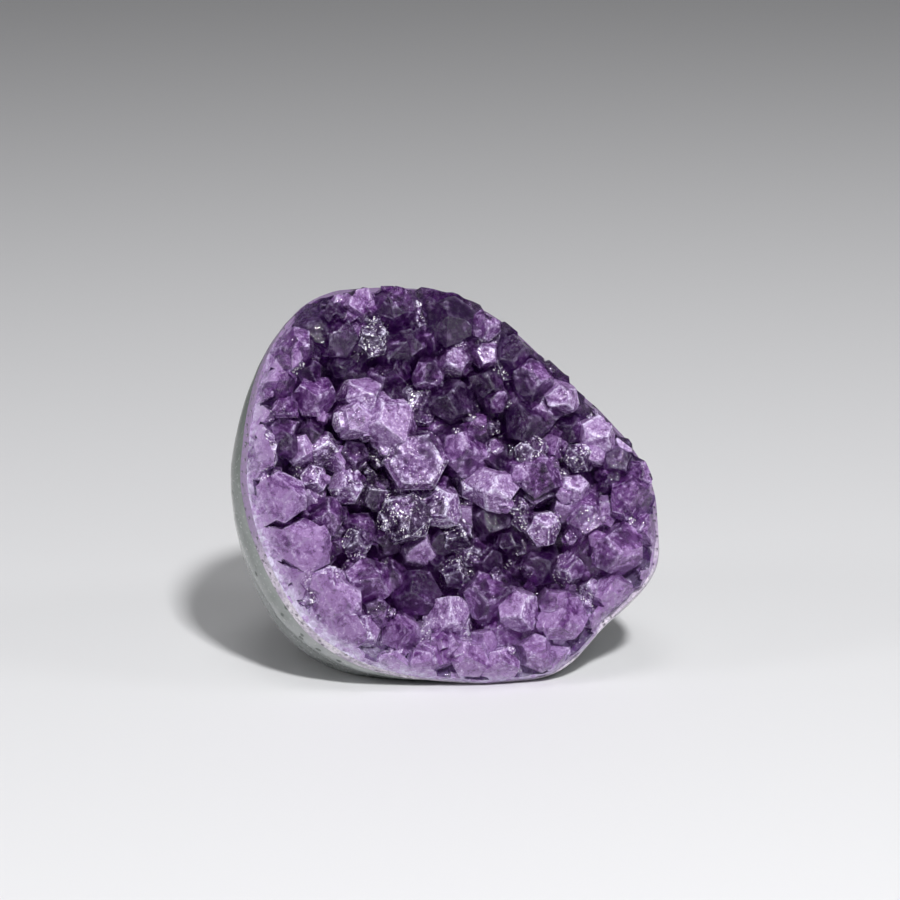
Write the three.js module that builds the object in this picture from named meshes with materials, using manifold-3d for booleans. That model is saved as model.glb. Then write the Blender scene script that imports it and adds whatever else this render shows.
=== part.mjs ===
// A hand-sized amethyst geode: a piece of dark basalt, ground and polished all round, whose dished front
// is lined with a pale quartz band and a crust of purple quartz points. It stands on a ground flat base.
//
// Every solid is made in the face frame, in millimetres: x runs right across the crystal face, y runs up it
// and z points out of it. One group then leans that frame back and stands the stone on z = 0.

import * as THREE from "three";
import { mergeVertices } from "three/addons/utils/BufferGeometryUtils.js";
import Module from "manifold-3d";

const wasm = await Module();
wasm.setup();

// The ground body. The outline is its widest section, seen straight onto the crystal face. Its third
// number is the level at which the dish that the quartz grew on comes out through the ground side there.
const OUTLINE = [
  [44.8, -8.0, -4.5],
  [43.4, 1.5, -8.0],
  [37.4, 11.5, -9.0],
  [24.6, 24.0, -9.0],
  [12.2, 35.6, -9.0],
  [0.0, 41.0, -9.0],
  [-14.0, 42.3, -8.0],
  [-28.0, 39.0, -6.0],
  [-38.0, 27.5, -2.0],
  [-43.4, 13.0, 2.2],
  [-45.0, 0.0, 4.0],
  [-42.2, -14.0, 5.5],
  [-34.8, -28.5, 5.8],
  [-22.0, -37.6, 3.0],
  [-6.0, -41.0, -1.2],
  [10.0, -42.2, -2.6],
  [23.0, -40.0, -2.6],
  [33.0, -31.0, -1.6],
  [44.0, -20.0, -1.6],
];
const GIRTH_LEVEL = -7; // where the body is widest, behind the middle of the face
const FRONT_DEPTH = 17; // from the widest section forwards to the front of the ground form
const BACK_DEPTH = 46; // from the widest section back to the rounded back
const ROUNDNESS = 2.4; // of the profile from front to back: 2 is an ellipse, more is boxier
const BACK_DROP = 0.28; // how far each section sinks for each millimetre that it lies behind the widest
const LEAN_BACK = 14; // degrees that the face looks up
const FACE_CENTRE = [-0.08, -19.14, 41.6]; // where the face frame's origin stands above the base

// The quartz on the dish.
const DISH_CENTRE_LEVEL = -15;
const BAND_THICKNESS = 2.6;
const FIT_GAP = 0.3; // between the separate solids
const CRUST_FLOOR = 2.2; // thickness of the crust that joins the points at their roots

// A natural quartz point: the six faces of its tip lie this steeply to its section.
const TIP_SLOPE = Math.tan(THREE.MathUtils.degToRad(51.8));
const POINT_LENGTH = 30; // from the shoulder down, cut off where it meets the dish
const DRUSE_LEVEL = -4.5; // of the points' shoulders in the middle of the face
const DRUSE_RIM_LEVEL = 4; // and at the rim where the dish comes out at level 0
const DRUSE_RIM_GAIN = 1.2; // how much higher they stand there for each millimetre that the dish does
const MAJOR_FACE = [-0.3, 0.05]; // set of a tip's larger faces along its axis, as a share of its radius
const MINOR_FACE = [0.0, 0.42]; // and of the smaller ones in between

// The points that stand out, from the top of the face to its foot:
// x, y, radius, lean in x, lean in y, rise above the druse, bluntness of the tip.
const LARGE_POINTS = [
  [-10.0, 38.6, 4.8, 0.0, 0.2, 1.0, 0.9],
  [-18.2, 38.8, 4.0, -0.1, 0.1, 0.5, 0.9],
  [-22.6, 36.6, 2.6, 0.1, -0.2, 1.5, 1.0],
  [1.8, 34.4, 5.8, 0.1, 0.1, 1.5, 0.8],
  [9.4, 33.4, 3.4, 0.3, 0.3, 1.5, 0.9],
  [-22.6, 31.6, 4.8, 0.0, 0.1, 0.5, 0.8],
  [-14.3, 31.0, 4.0, 0.1, -0.1, 0.0, 0.9],
  [-6.4, 30.8, 3.6, -0.2, 0.2, 0.0, 0.9],
  [-34.0, 28.6, 4.6, 0.1, -0.2, 1.5, 0.8],
  [-28.0, 29.6, 3.2, 0.2, -0.1, -1.5, 1.0],
  [16.0, 27.6, 4.6, 0.1, 0.2, 0.5, 0.9],
  [8.6, 26.6, 3.0, -0.1, -0.4, 0.5, 0.8],
  [-21.0, 25.4, 3.0, 0.1, -0.2, 0.0, 1.0],
  [-34.6, 22.4, 3.8, 0.1, 0.1, 0.0, 0.9],
  [-28.4, 24.4, 3.2, -0.2, 0.3, -0.5, 1.0],
  [-10.0, 24.0, 3.2, -0.3, 0.3, -0.5, 1.0],
  [-3.4, 22.8, 4.0, -0.3, -0.2, 0.5, 0.9],
  [9.6, 20.8, 3.4, 0.2, 0.0, 0.5, 0.8],
  [19.2, 21.6, 4.9, 0.3, 0.1, 1.5, 0.9],
  [-27.2, 19.4, 4.8, 0.0, 0.2, 0.8, 0.8],
  [-16.8, 19.2, 5.0, 0.4, 0.3, 0.0, 0.9],
  [1.2, 18.0, 5.6, 0.1, 0.4, 0.5, 0.9],
  [25.2, 17.0, 4.0, 0.1, -0.2, 1.5, 0.8],
  [-33.8, 16.8, 3.0, 0.1, -0.2, 0.5, 0.9],
  [-19.6, 13.6, 4.6, -0.1, -0.4, 1.5, 0.9],
  [17.6, 12.8, 5.2, 0.3, 0.0, -0.5, 0.9],
  [-11.2, 12.4, 6.0, 0.2, -0.3, 2.2, 0.9],
  [26.8, 11.0, 3.4, -0.2, 0.2, -1.0, 1.0],
  [33.0, 9.6, 4.4, 0.2, 0.1, 0.5, 0.8],
  [-33.4, 9.4, 3.2, 0.1, -0.1, 0.0, 0.9],
  [-25.6, 8.6, 4.0, 0.4, 0.1, 0.0, 0.9],
  [4.8, 6.6, 6.2, 0.1, 0.1, 1.2, 0.7],
  [18.0, 6.0, 3.8, 0.0, 0.1, 1.0, 0.8],
  [-19.4, 6.2, 3.8, 0.1, -0.3, 0.5, 0.8],
  [28.4, 5.0, 3.4, 0.2, 0.3, 0.8, 1.0],
  [37.0, 3.4, 3.6, 0.2, 0.0, 0.5, 0.9],
  [-28.0, 2.0, 3.4, -0.1, -0.2, 0.0, 0.9],
  [-21.4, 0.4, 4.2, 0.1, -0.1, 0.0, 0.9],
  [20.0, 0.6, 5.2, 0.3, -0.3, 1.8, 0.9],
  [-34.8, -1.0, 5.6, 0.4, 0.2, 1.8, 0.8],
  [11.6, -2.2, 4.6, 0.5, -0.4, 2.8, 0.7],
  [27.2, -2.0, 3.6, 0.0, -0.1, 1.2, 0.8],
  [38.6, -4.0, 4.6, 0.0, -0.2, 0.8, 0.8],
  [-1.2, -5.2, 4.8, 0.0, -0.5, 1.5, 0.9],
  [-26.2, -5.6, 5.0, 0.2, 0.2, 0.5, 0.7],
  [-9.0, -6.8, 6.2, -0.3, -0.2, 1.2, 1.1],
  [9.4, -8.4, 4.8, 0.0, -0.3, -0.5, 0.9],
  [29.0, -9.6, 4.6, 0.0, -0.4, 1.2, 0.8],
  [20.6, -9.8, 4.0, 0.1, -0.3, 1.4, 0.7],
  [-29.8, -11.4, 6.0, 0.15, 0.15, 2.8, 0.7],
  [2.4, -11.0, 3.4, 0.0, 0.3, 0.0, 1.1],
  [-19.4, -11.4, 3.4, 0.1, -0.1, 0.5, 1.0],
  [13.6, -12.4, 3.0, 0.2, -0.2, 0.0, 1.0],
  [35.4, -15.0, 5.9, -0.1, -0.1, 2.4, 0.7],
  [-3.2, -17.0, 3.4, 0.1, 0.0, -1.5, 1.0],
  [20.4, -17.6, 5.2, 0.0, 0.2, -3.5, 0.9],
  [-26.2, -18.4, 3.6, 0.1, 0.2, 2.2, 0.8],
  [-16.8, -19.4, 5.2, 0.2, 0.3, 1.0, 0.8],
  [-7.4, -22.2, 5.4, 0.1, 0.2, 0.4, 0.9],
  [34.2, -22.8, 4.2, -0.3, 0.4, 1.0, 0.7],
  [-23.4, -23.8, 5.0, 0.1, 0.0, 2.0, 0.7],
  [8.2, -24.0, 6.0, -0.1, 0.2, 1.8, 0.9],
  [-0.8, -26.4, 5.2, 0.0, 0.8, 0.4, 1.1],
  [-15.4, -26.4, 3.4, 0.3, -0.3, 0.5, 1.0],
  [14.2, -26.8, 5.0, 0.2, -0.4, 3.0, 0.8],
  [23.4, -28.4, 5.8, 0.0, 0.1, 2.4, 0.8],
  [-21.6, -30.2, 4.6, 0.6, -0.4, 1.4, 0.8],
  [-10.6, -30.4, 4.4, 0.1, 0.2, -1.0, 1.0],
  [31.4, -29.0, 3.2, -0.2, 0.3, 1.0, 0.8],
  [6.8, -33.0, 3.6, 0.0, 0.3, -0.5, 1.0],
  [-3.6, -34.6, 3.4, 0.1, 0.2, 1.0, 0.7],
  [18.4, -35.6, 4.4, 0.1, 0.3, 0.6, 0.9],
  [3.4, -36.6, 4.2, 0.0, 0.1, 2.2, 0.6],
  [10.4, -38.0, 4.0, 0.2, 0.2, 1.8, 0.6],
];
const LARGE_TURN = 17; // degrees from one large point to the next, so that none line up
const LARGE_LEAN = 0.3; // how far the large points lean at random besides

// The largest point of all faces the viewer, with an even tip that ends in a flat.
const FLAT_POINT = { x: -6.6, y: 5.4, radius: 7.0, leanX: 0.02, leanY: 0.06, rise: 4.4, flatTop: 1.6 };
const FLAT_TURN = 30; // degrees about its axis
const FLAT_UNEVENNESS = 0.12; // share of the other points' unevenness

// The smaller points that close the gaps stand on a jittered grid.
const SMALL_SPACING = 7.0;
const SMALL_RADIUS = [3.4, 4.8];
const SMALL_JITTER = 0.32; // share of the spacing
const SMALL_SINK = [0.6, 3.0]; // how far their shoulders lie under the druse
const SMALL_LEAN = 0.55;
const LEAN_INWARDS = 0.25; // at the rim, where the dish's wall turns them to the middle
const ROOM_BESIDE_LARGE = 0.72; // share of a large point's radius that a small one keeps clear of
const FACE_REACH = 0.97; // share of the outline that holds small points

const SLIVER = 0.05; // detail finer than this is left out
const ROUND_STEPS = 40; // facets round the body
const BODY_RINGS = 22; // facets from its front to its back
const DISH_RINGS = 5;

// Repeatable random numbers from 0 to 1.
function makeRandom(seed) {
  const MODULUS = 2147483647;
  let state = seed;
  return () => {
    state = (state * 48271) % MODULUS;
    return state / MODULUS;
  };
}

const outlineCurve = new THREE.CatmullRomCurve3(
  OUTLINE.map((place) => new THREE.Vector3(...place)),
  true,
  "catmullrom",
  0.5,
);
const outlineSamples = outlineCurve
  .getPoints(720)
  .slice(0, -1)
  .map((p) => ({ angle: Math.atan2(p.y, p.x), radius: Math.hypot(p.x, p.y), level: p.z }))
  .sort((a, b) => a.angle - b.angle);

// The outline in one direction from the middle of the face: how far out it runs and the dish's level there.
function outlineAt(angle) {
  const turned = Math.atan2(Math.sin(angle), Math.cos(angle));
  const above = outlineSamples.findIndex((sample) => sample.angle >= turned);
  const next = outlineSamples[above < 0 ? 0 : above];
  const last = outlineSamples.at(above < 0 ? -1 : above - 1);
  const span = (next.angle - last.angle + 2 * Math.PI) % (2 * Math.PI);
  const share = span > 0 ? ((turned - last.angle + 2 * Math.PI) % (2 * Math.PI)) / span : 0;
  return {
    radius: THREE.MathUtils.lerp(last.radius, next.radius, share),
    level: THREE.MathUtils.lerp(last.level, next.level, share),
  };
}

// How far out a place on the face lies: 0 in the middle, 1 on the outline.
function faceShare(x, y) {
  return Math.hypot(x, y) / outlineAt(Math.atan2(y, x)).radius;
}

// The level of the dish's floor, which climbs from the middle to the rim.
function dishLevel(share, angle) {
  return THREE.MathUtils.lerp(DISH_CENTRE_LEVEL, outlineAt(angle).level, share ** 2.5);
}

// The level of the points' shoulders, with the trough that crosses the lower part of the face.
function druseLevel(x, y) {
  const rim = outlineAt(Math.atan2(y, x)).level * DRUSE_RIM_GAIN + DRUSE_RIM_LEVEL;
  const trough = 2.5 * Math.exp(-(((y + 15) / 5) ** 2) - ((x - 8) / 20) ** 2);
  return THREE.MathUtils.lerp(DRUSE_LEVEL, rim, faceShare(x, y) ** 2.5) - trough;
}

// A closed three.js geometry as a solid that can be joined and cut.
function solidFrom(geometry) {
  const bare = geometry.index ? geometry.clone() : mergeVertices(geometry);
  bare.deleteAttribute("normal");
  bare.deleteAttribute("uv");
  const merged = mergeVertices(bare, 1e-4);
  return new wasm.Manifold(
    new wasm.Mesh({
      numProp: 3,
      vertProperties: merged.attributes.position.array,
      triVerts: new Uint32Array(merged.index.array),
    }),
  );
}

function geometryFrom(solid) {
  const mesh = withoutHollows(solid.asOriginal().simplify(SLIVER)).getMesh();
  return new THREE.BufferGeometry()
    .setAttribute("position", new THREE.BufferAttribute(mesh.vertProperties, 3))
    .setIndex(new THREE.BufferAttribute(mesh.triVerts, 1));
}

function moveVertices(geometry, move) {
  const places = geometry.attributes.position;
  const point = new THREE.Vector3();
  for (let i = 0; i < places.count; i++) {
    point.fromBufferAttribute(places, i);
    move(point);
    places.setXYZ(i, point.x, point.y, point.z);
  }
  return geometry;
}

// The whole ground form: a sphere drawn out to the outline, and deeper behind than in front.
function groundBody() {
  const sphere = new THREE.SphereGeometry(1, ROUND_STEPS, BODY_RINGS);
  sphere.rotateX(Math.PI / 2);
  return solidFrom(
    moveVertices(sphere, (p) => {
      const angle = Math.atan2(p.y, p.x);
      const width = Math.hypot(p.x, p.y) ** (2 / ROUNDNESS);
      const depth = Math.sign(p.z) * Math.abs(p.z) ** (2 / ROUNDNESS);
      const behind = depth * (depth > 0 ? FRONT_DEPTH : BACK_DEPTH);
      const reach = width * outlineAt(angle).radius;
      p.set(
        reach * Math.cos(angle),
        reach * Math.sin(angle) + Math.min(0, behind) * BACK_DROP,
        GIRTH_LEVEL + behind,
      );
    }),
  );
}

// Everything above the dish's floor, once that floor is raised by lift.
function spaceOverDish(lift) {
  const reach = 1.3; // well past the outline
  const top = 40;
  const profile = [];
  for (let i = 0; i <= DISH_RINGS; i++) profile.push(new THREE.Vector2((reach * i) / DISH_RINGS, 0));
  profile.push(new THREE.Vector2(reach, top), new THREE.Vector2(0, top));
  const drum = new THREE.LatheGeometry(profile, ROUND_STEPS);
  drum.rotateX(Math.PI / 2);
  return solidFrom(
    moveVertices(drum, (p) => {
      const share = Math.hypot(p.x, p.y);
      const angle = Math.atan2(p.y, p.x);
      const level = p.z > top / 2 ? top : dishLevel(share, angle) + lift;
      const radius = share * outlineAt(angle).radius;
      p.set(radius * Math.cos(angle), radius * Math.sin(angle), level);
    }),
  );
}

// Everything under the table: what the ground flat base takes off, in the face frame.
function spaceUnderBase() {
  const side = 400;
  const block = new THREE.BoxGeometry(side, side, side);
  block.translate(0, 0, -side / 2);
  block.applyMatrix4(placement().invert());
  return solidFrom(block);
}

// Leans the face frame back and stands it over the base.
function placement() {
  const turn = THREE.MathUtils.degToRad(90 - LEAN_BACK);
  return new THREE.Matrix4().makeRotationX(turn).setPosition(...FACE_CENTRE);
}

// One six-sided quartz point with an uneven tip. Its shoulder's middle is at its place.
function quartzPoint({ x, y, level, radius, leanX, leanY, turn, bluntness, flatTop, unevenness = 1 }, random) {
  const prism = new THREE.CylinderGeometry(radius, radius, POINT_LENGTH, 6);
  prism.rotateX(Math.PI / 2);
  const tipHeight = TIP_SLOPE * radius * bluntness;
  prism.translate(0, 0, tipHeight - POINT_LENGTH / 2);
  prism.scale(1, 1 + unevenness * (0.22 * random() - 0.14), 1);
  let solid = solidFrom(prism);
  for (let side = 0; side < 6; side++) {
    const angle = THREE.MathUtils.degToRad(60 * side);
    // Every other tip face is a larger one, as in quartz.
    const [low, high] = side % 2 ? MINOR_FACE : MAJOR_FACE;
    const set = unevenness * (low + (high - low) * random());
    const slope = TIP_SLOPE * bluntness;
    const normal = new THREE.Vector3(slope * Math.cos(angle), slope * Math.sin(angle), 1).normalize();
    const offset = normal.x * Math.cos(angle) + normal.y * Math.sin(angle);
    const apothem = radius * Math.cos(Math.PI / 6);
    solid = solid.trimByPlane(
      normal.clone().negate().toArray(),
      -(offset * apothem + set * radius * normal.z),
    );
  }
  if (flatTop !== undefined) solid = solid.trimByPlane([0, 0, -1], -flatTop);
  const axis = new THREE.Vector3(leanX, leanY, 1).normalize();
  const aim = new THREE.Quaternion().setFromUnitVectors(new THREE.Vector3(0, 0, 1), axis);
  const spin = new THREE.Quaternion().setFromAxisAngle(new THREE.Vector3(0, 0, 1), turn);
  const place = new THREE.Matrix4().compose(
    new THREE.Vector3(x, y, level),
    aim.multiply(spin),
    new THREE.Vector3(1, 1, 1),
  );
  return solid.transform(place.toArray());
}

function largePoints(random) {
  const lean = () => LARGE_LEAN * (2 * random() - 1);
  return LARGE_POINTS.map(([x, y, radius, leanX, leanY, rise, bluntness], i) => {
    const turn = THREE.MathUtils.degToRad(i * LARGE_TURN);
    const level = druseLevel(x, y) + rise;
    const leaning = { leanX: leanX + lean(), leanY: leanY + lean() };
    return quartzPoint({ x, y, level, radius, turn, bluntness, ...leaning }, random);
  });
}

function flatPoint(random) {
  const level = druseLevel(FLAT_POINT.x, FLAT_POINT.y) + FLAT_POINT.rise;
  const turn = THREE.MathUtils.degToRad(FLAT_TURN);
  return quartzPoint({ ...FLAT_POINT, level, turn, bluntness: 1, unevenness: FLAT_UNEVENNESS }, random);
}

function smallPoints(random) {
  const between = ([low, high]) => low + (high - low) * random();
  const spread = () => 2 * random() - 1;
  const points = [];
  const rows = Math.ceil(45 / (SMALL_SPACING * 0.866));
  const columns = Math.ceil(48 / SMALL_SPACING);
  for (let row = -rows; row <= rows; row++) {
    for (let column = -columns; column <= columns; column++) {
      const x = (column + 0.5 * (row & 1) + SMALL_JITTER * spread()) * SMALL_SPACING;
      const y = (row * 0.866 + SMALL_JITTER * spread()) * SMALL_SPACING;
      const radius = between(SMALL_RADIUS);
      const leanX = SMALL_LEAN * spread() - (LEAN_INWARDS * x) / 45;
      const leanY = SMALL_LEAN * spread() - (LEAN_INWARDS * y) / 45;
      const level = druseLevel(x, y) - between(SMALL_SINK);
      const turn = random() * Math.PI;
      const hidden = [...LARGE_POINTS, [FLAT_POINT.x, FLAT_POINT.y, FLAT_POINT.radius]].some(
        ([largeX, largeY, r]) => Math.hypot(x - largeX, y - largeY) < r * ROOM_BESIDE_LARGE,
      );
      if (hidden || faceShare(x, y) > FACE_REACH) continue;
      points.push(quartzPoint({ x, y, level, radius, leanX, leanY, turn, bluntness: 0.95 }, random));
    }
  }
  return points;
}

// The outer skin alone: fills the pockets closed in between crystals and drops loose crumbs.
function withoutHollows(solid) {
  return solid.decompose().reduce((a, b) => (b.volume() > a.volume() ? b : a));
}

function material(color, roughness) {
  return new THREE.MeshStandardMaterial({ color, roughness, metalness: 0 });
}

function namedMesh(name, solid, look) {
  const mesh = new THREE.Mesh(geometryFrom(solid), look);
  mesh.name = name;
  return mesh;
}

const body = groundBody().subtract(spaceUnderBase());

const bandFloor = -BAND_THICKNESS;
const rock = body.subtract(spaceOverDish(bandFloor));
const band = body.intersect(spaceOverDish(bandFloor + FIT_GAP)).subtract(spaceOverDish(0));

const crustFloor = spaceOverDish(FIT_GAP).subtract(spaceOverDish(FIT_GAP + CRUST_FLOOR));
const random = makeRandom(35);
const points = [...largePoints(random), flatPoint(random), ...smallPoints(random)];
const crust = wasm.Manifold.union([crustFloor, ...points])
  .intersect(spaceOverDish(FIT_GAP))
  .intersect(body);

const geode = new THREE.Group();
geode.applyMatrix4(placement());
geode.add(
  namedMesh("rock_shell", rock, material(0x6f746f, 0.3)),
  namedMesh("quartz_band", band, material(0xd9cfda, 0.45)),
  namedMesh("crystal_crust", crust, material(0x6a3f8f, 0.12)),
);

export default geode;
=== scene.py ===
"""Looks of a hand-sized amethyst geode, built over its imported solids.

The stone is a polished piece of basalt. Its dished front holds a band of cloudy quartz and a crust of purple
quartz points, which are ground flush with the outside at the rim. Sizes are in millimetres in the face frame
(x right across the crystal face, y up it, z out of it) until a mesh is finished, then in metres.
"""

import logging
import math
from bisect import bisect_left
from collections.abc import Iterator
from dataclasses import dataclass, field
from enum import Enum
from functools import partial
from itertools import product

import bmesh
import bpy
from mathutils import Matrix, Vector, noise


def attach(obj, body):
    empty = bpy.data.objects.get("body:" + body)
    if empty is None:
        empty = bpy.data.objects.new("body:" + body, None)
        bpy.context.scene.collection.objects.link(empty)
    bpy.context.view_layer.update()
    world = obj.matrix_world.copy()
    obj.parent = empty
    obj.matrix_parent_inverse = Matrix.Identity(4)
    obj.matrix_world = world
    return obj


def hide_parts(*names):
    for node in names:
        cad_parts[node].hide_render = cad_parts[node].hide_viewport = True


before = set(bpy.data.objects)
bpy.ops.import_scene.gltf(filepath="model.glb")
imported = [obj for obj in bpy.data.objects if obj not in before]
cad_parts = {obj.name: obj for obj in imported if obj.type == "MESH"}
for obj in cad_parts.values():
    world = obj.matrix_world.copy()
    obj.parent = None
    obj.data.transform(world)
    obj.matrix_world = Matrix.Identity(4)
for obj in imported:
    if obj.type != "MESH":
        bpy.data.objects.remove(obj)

logging.basicConfig(level=logging.INFO, format="%(levelname)s %(message)s")
log = logging.getLogger("geode")

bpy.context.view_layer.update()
MM = 0.001

LEAN_BACK = math.radians(14)  # the crystal face looks up by this much
FACE_CENTRE = Vector((-0.08, -19.14, 41.6))  # where the face frame's origin stands above the base
FACE_TO_STONE = Matrix.Translation(FACE_CENTRE) @ Matrix.Rotation(math.radians(90) - LEAN_BACK, 4, "X")

# x and y of the stone's widest section, and the level at which the dish comes out through its side there.
OUTLINE = [
    (44.8, -8.0, -4.5), (43.4, 1.5, -8.0), (37.4, 11.5, -9.0), (24.6, 24.0, -9.0), (12.2, 35.6, -9.0),
    (0.0, 41.0, -9.0), (-14.0, 42.3, -8.0), (-28.0, 39.0, -6.0), (-38.0, 27.5, -2.0), (-43.4, 13.0, 2.2),
    (-45.0, 0.0, 4.0), (-42.2, -14.0, 5.5), (-34.8, -28.5, 5.8), (-22.0, -37.6, 3.0), (-6.0, -41.0, -1.2),
    (10.0, -42.2, -2.6), (23.0, -40.0, -2.6), (33.0, -31.0, -1.6), (44.0, -20.0, -1.6),
]


class Look(Enum):
    """How a quartz point looks: its depth of colour and how rough its faces are."""

    CLEAR = (0.5, 0.15)
    DEEP = (0.12, 0.1)
    PALE = (0.95, 0.35)
    FROSTED = (0.7, 0.8)
    SPARKLING = (0.25, 1.0)

    @property
    def tint(self) -> float:
        """0 for the deepest violet, 1 for the palest lavender."""
        return self.value[0]

    @property
    def frost(self) -> float:
        """0 for glassy faces, 1 for faces covered in fine growth steps."""
        return self.value[1]


C, D, P, F, S = Look.CLEAR, Look.DEEP, Look.PALE, Look.FROSTED, Look.SPARKLING

# The points that stand out, from the top of the face to its foot:
# x, y, radius, lean in x, lean in y, rise above the druse, bluntness of the tip, look.
LARGE_POINTS = [
    (-10.0, 38.6, 4.8, 0.0, 0.2, 1.0, 0.9, C),
    (-18.2, 38.8, 4.0, -0.1, 0.1, 0.5, 0.9, P),
    (-22.6, 36.6, 2.6, 0.1, -0.2, 1.5, 1.0, D),
    (1.8, 34.4, 5.8, 0.1, 0.1, 1.5, 0.8, D),
    (9.4, 33.4, 3.4, 0.3, 0.3, 1.5, 0.9, P),
    (-22.6, 31.6, 4.8, 0.0, 0.1, 0.5, 0.8, D),
    (-14.3, 31.0, 4.0, 0.1, -0.1, 0.0, 0.9, S),
    (-6.4, 30.8, 3.6, -0.2, 0.2, 0.0, 0.9, D),
    (-34.0, 28.6, 4.6, 0.1, -0.2, 1.5, 0.8, P),
    (-28.0, 29.6, 3.2, 0.2, -0.1, -1.5, 1.0, D),
    (16.0, 27.6, 4.6, 0.1, 0.2, 0.5, 0.9, D),
    (8.6, 26.6, 3.0, -0.1, -0.4, 0.5, 0.8, P),
    (-21.0, 25.4, 3.0, 0.1, -0.2, 0.0, 1.0, D),
    (-34.6, 22.4, 3.8, 0.1, 0.1, 0.0, 0.9, C),
    (-28.4, 24.4, 3.2, -0.2, 0.3, -0.5, 1.0, D),
    (-10.0, 24.0, 3.2, -0.3, 0.3, -0.5, 1.0, D),
    (-3.4, 22.8, 4.0, -0.3, -0.2, 0.5, 0.9, C),
    (9.6, 20.8, 3.4, 0.2, 0.0, 0.5, 0.8, D),
    (19.2, 21.6, 4.9, 0.3, 0.1, 1.5, 0.9, C),
    (-27.2, 19.4, 4.8, 0.0, 0.2, 0.8, 0.8, C),
    (-16.8, 19.2, 5.0, 0.4, 0.3, 0.0, 0.9, P),
    (1.2, 18.0, 5.6, 0.1, 0.4, 0.5, 0.9, D),
    (25.2, 17.0, 4.0, 0.1, -0.2, 1.5, 0.8, P),
    (-33.8, 16.8, 3.0, 0.1, -0.2, 0.5, 0.9, C),
    (-19.6, 13.6, 4.6, -0.1, -0.4, 1.5, 0.9, P),
    (17.6, 12.8, 5.2, 0.3, 0.0, -0.5, 0.9, D),
    (-11.2, 12.4, 6.0, 0.2, -0.3, 2.2, 0.9, P),
    (26.8, 11.0, 3.4, -0.2, 0.2, -1.0, 1.0, D),
    (33.0, 9.6, 4.4, 0.2, 0.1, 0.5, 0.8, P),
    (-33.4, 9.4, 3.2, 0.1, -0.1, 0.0, 0.9, D),
    (-25.6, 8.6, 4.0, 0.4, 0.1, 0.0, 0.9, F),
    (4.8, 6.6, 6.2, 0.1, 0.1, 1.2, 0.7, C),
    (18.0, 6.0, 3.8, 0.0, 0.1, 1.0, 0.8, S),
    (-19.4, 6.2, 3.8, 0.1, -0.3, 0.5, 0.8, D),
    (28.4, 5.0, 3.4, 0.2, 0.3, 0.8, 1.0, S),
    (37.0, 3.4, 3.6, 0.2, 0.0, 0.5, 0.9, D),
    (-28.0, 2.0, 3.4, -0.1, -0.2, 0.0, 0.9, F),
    (-21.4, 0.4, 4.2, 0.1, -0.1, 0.0, 0.9, F),
    (20.0, 0.6, 5.2, 0.3, -0.3, 1.8, 0.9, C),
    (-34.8, -1.0, 5.6, 0.4, 0.2, 1.8, 0.8, P),
    (11.6, -2.2, 4.6, 0.5, -0.4, 2.8, 0.7, P),
    (27.2, -2.0, 3.6, 0.0, -0.1, 1.2, 0.8, P),
    (38.6, -4.0, 4.6, 0.0, -0.2, 0.8, 0.8, C),
    (-1.2, -5.2, 4.8, 0.0, -0.5, 1.5, 0.9, F),
    (-26.2, -5.6, 5.0, 0.2, 0.2, 0.5, 0.7, C),
    (-9.0, -6.8, 6.2, -0.3, -0.2, 1.2, 1.1, S),
    (9.4, -8.4, 4.8, 0.0, -0.3, -0.5, 0.9, D),
    (29.0, -9.6, 4.6, 0.0, -0.4, 1.2, 0.8, C),
    (20.6, -9.8, 4.0, 0.1, -0.3, 1.4, 0.7, F),
    (-29.8, -11.4, 6.0, 0.15, 0.15, 2.8, 0.7, P),
    (2.4, -11.0, 3.4, 0.0, 0.3, 0.0, 1.1, S),
    (-19.4, -11.4, 3.4, 0.1, -0.1, 0.5, 1.0, S),
    (13.6, -12.4, 3.0, 0.2, -0.2, 0.0, 1.0, D),
    (35.4, -15.0, 5.9, -0.1, -0.1, 2.4, 0.7, C),
    (-3.2, -17.0, 3.4, 0.1, 0.0, -1.5, 1.0, D),
    (20.4, -17.6, 5.2, 0.0, 0.2, -3.5, 0.9, D),
    (-26.2, -18.4, 3.6, 0.1, 0.2, 2.2, 0.8, F),
    (-16.8, -19.4, 5.2, 0.2, 0.3, 1.0, 0.8, C),
    (-7.4, -22.2, 5.4, 0.1, 0.2, 0.4, 0.9, D),
    (34.2, -22.8, 4.2, -0.3, 0.4, 1.0, 0.7, C),
    (-23.4, -23.8, 5.0, 0.1, 0.0, 2.0, 0.7, P),
    (8.2, -24.0, 6.0, -0.1, 0.2, 1.8, 0.9, C),
    (-0.8, -26.4, 5.2, 0.0, 0.8, 0.4, 1.1, P),
    (-15.4, -26.4, 3.4, 0.3, -0.3, 0.5, 1.0, D),
    (14.2, -26.8, 5.0, 0.2, -0.4, 3.0, 0.8, P),
    (23.4, -28.4, 5.8, 0.0, 0.1, 2.4, 0.8, C),
    (-21.6, -30.2, 4.6, 0.6, -0.4, 1.4, 0.8, F),
    (-10.6, -30.4, 4.4, 0.1, 0.2, -1.0, 1.0, D),
    (31.4, -29.0, 3.2, -0.2, 0.3, 1.0, 0.8, P),
    (6.8, -33.0, 3.6, 0.0, 0.3, -0.5, 1.0, D),
    (-3.6, -34.6, 3.4, 0.1, 0.2, 1.0, 0.7, P),
    (18.4, -35.6, 4.4, 0.1, 0.3, 0.6, 0.9, C),
    (3.4, -36.6, 4.2, 0.0, 0.1, 2.2, 0.6, P),
    (10.4, -38.0, 4.0, 0.2, 0.2, 1.8, 0.6, P),
]


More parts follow.
